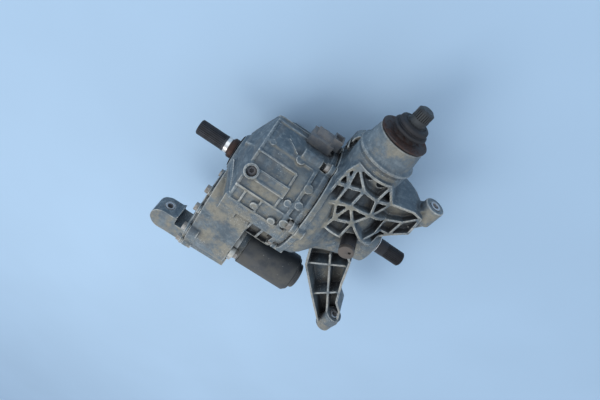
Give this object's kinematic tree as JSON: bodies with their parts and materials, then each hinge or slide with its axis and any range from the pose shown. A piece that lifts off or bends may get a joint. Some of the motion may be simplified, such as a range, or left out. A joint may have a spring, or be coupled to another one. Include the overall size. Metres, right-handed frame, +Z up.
{
  "type": "rear axle drive unit",
  "caption": "Rear axle drive unit with a bevel pinion input, differential, clutch-coupled left output and three mounting arms.",
  "frame": {"origin": "on the flat belly, straight below the point where the axle and pinion axes cross", "axes": "+X along the axle to the right output, +Y along the pinion towards its input stub, +Z up"},
  "size_m": [0.42, 0.4715, 0.2048],
  "materials": {
    "bearing_steel": "ground",
    "bolt_steel": "dull zinc",
    "cast_aluminium": "weathered sand-cast, dusty",
    "friction_lining": "paper lining, oiled",
    "gear_steel": "ground and oiled",
    "motor_paint": "dark, dusty",
    "plug_steel": "dark",
    "seal_rubber": "matt black",
    "sensor_plastic": "dark grey, dusty",
    "shield_steel": "rusted black paint",
    "sleeve_steel": "machined",
    "stub_steel": "dark phosphated, oily"
  },
  "bodies": {
    "housing": {"carrier_housing": "cast_aluminium", "clutch_housing": "cast_aluminium", "end_cover": "cast_aluminium", "left_carrier_bearing_cup": "bearing_steel", "right_carrier_bearing_cup": "bearing_steel", "pinion_head_bearing_cup": "bearing_steel", "pinion_front_bearing_cup": "bearing_steel", "output_bearing_outer": "bearing_steel", "pinion_seal": "seal_rubber", "left_output_seal": "seal_rubber", "right_output_seal": "seal_rubber", "ramp_bearing": "bearing_steel", "idler_pin": "gear_steel", "motor_body": "motor_paint", "motor_end_cap": "motor_paint", "motor_flange": "cast_aluminium", "cover_bolts": "bolt_steel", "seam_bolts": "bolt_steel", "motor_bolts": "bolt_steel", "left_mount_sleeve": "sleeve_steel", "rear_mount_sleeve": "sleeve_steel", "front_mount_sleeve": "sleeve_steel", "fill_plug": "plug_steel", "vent_cap": "cast_aluminium", "drain_plug": "plug_steel", "clutch_bulkhead": "cast_aluminium", "sensor_module": "sensor_plastic"},
    "pinion": {"pinion_shaft": "stub_steel", "pinion_head_bearing_cone": "bearing_steel", "pinion_front_bearing_cone": "bearing_steel", "crush_sleeve": "gear_steel", "pinion_nut": "gear_steel", "dust_shield": "shield_steel", "pinion_boot": "seal_rubber"},
    "carrier": {"differential_case": "gear_steel", "ring_gear": "gear_steel", "ring_gear_bolts": "bolt_steel", "cross_pin": "gear_steel", "left_carrier_bearing_cone": "bearing_steel", "right_carrier_bearing_cone": "bearing_steel"},
    "upper_spider": {"upper_spider_gear": "gear_steel"},
    "lower_spider": {"lower_spider_gear": "gear_steel"},
    "right_output": {"right_output_shaft": "stub_steel", "right_side_gear": "gear_steel"},
    "left_drive": {"left_drive_shaft": "gear_steel", "left_side_gear": "gear_steel", "clutch_drum": "gear_steel", "steel_plates": "gear_steel"},
    "left_output": {"left_output_shaft": "stub_steel", "clutch_hub": "gear_steel", "friction_plates": "friction_lining", "output_bearing_inner": "bearing_steel", "return_spring": "gear_steel"},
    "pressure": {"pressure_ring": "gear_steel", "ramp_balls": "bearing_steel", "pressure_bearing": "bearing_steel", "pressure_plate": "gear_steel"},
    "ramp": {"ramp_ring": "gear_steel"},
    "idler": {"idler_gear": "gear_steel"},
    "rotor": {"motor_rotor": "gear_steel"}
  },
  "joints": [
    {"name": "carrier_spin", "type": "hinge", "parent": "housing", "child": "carrier", "pos_m": [0, 0, 0.104], "axis": [1, 0, 0], "continuous": true},
    {"name": "pinion_spin", "type": "hinge", "parent": "housing", "child": "pinion", "pos_m": [0, 0, 0.104], "axis": [0, 1, 0], "continuous": true},
    {"name": "right_output_spin", "type": "hinge", "parent": "carrier", "child": "right_output", "pos_m": [0, 0, 0.104], "axis": [1, 0, 0], "continuous": true},
    {"name": "left_drive_spin", "type": "hinge", "parent": "carrier", "child": "left_drive", "pos_m": [0, 0, 0.104], "axis": [1, 0, 0], "continuous": true},
    {"name": "upper_spider_spin", "type": "hinge", "parent": "carrier", "child": "upper_spider", "pos_m": [0, 0, 0.104], "axis": [0, 0, 1], "continuous": true},
    {"name": "lower_spider_spin", "type": "hinge", "parent": "carrier", "child": "lower_spider", "pos_m": [0, 0, 0.104], "axis": [0, 0, 1], "continuous": true},
    {"name": "clutch_slip", "type": "hinge", "parent": "left_drive", "child": "left_output", "pos_m": [0, 0, 0.104], "axis": [1, 0, 0], "continuous": true},
    {"name": "ramp_turn", "type": "hinge", "parent": "housing", "child": "ramp", "pos_m": [0, 0, 0.104], "axis": [1, 0, 0], "range_deg": [0, 36]},
    {"name": "pressure_slide", "type": "slide", "parent": "housing", "child": "pressure", "axis": [1, 0, 0], "range_m": [0, 0.0012]},
    {"name": "idler_spin", "type": "hinge", "parent": "housing", "child": "idler", "pos_m": [-0.15, -0.10101, 0.1182], "axis": [1, 0, 0], "range_deg": [-131, 0]},
    {"name": "rotor_spin", "type": "hinge", "parent": "housing", "child": "rotor", "pos_m": [-0.1, -0.14666, 0.13303], "axis": [1, 0, 0], "range_deg": [0, 393]}
  ],
  "couplings": [
    {"joint": "pinion_spin", "follows": "carrier_spin", "ratio": 2.8462},
    {"joint": "left_drive_spin", "follows": "right_output_spin", "ratio": -1},
    {"joint": "upper_spider_spin", "follows": "right_output_spin", "ratio": -1.6},
    {"joint": "lower_spider_spin", "follows": "right_output_spin", "ratio": 1.6},
    {"joint": "pressure_slide", "follows": "ramp_turn", "m_per_rad": 0.0019098},
    {"joint": "idler_spin", "follows": "ramp_turn", "ratio": -3.6364},
    {"joint": "rotor_spin", "follows": "ramp_turn", "ratio": 10.909}
  ]
}
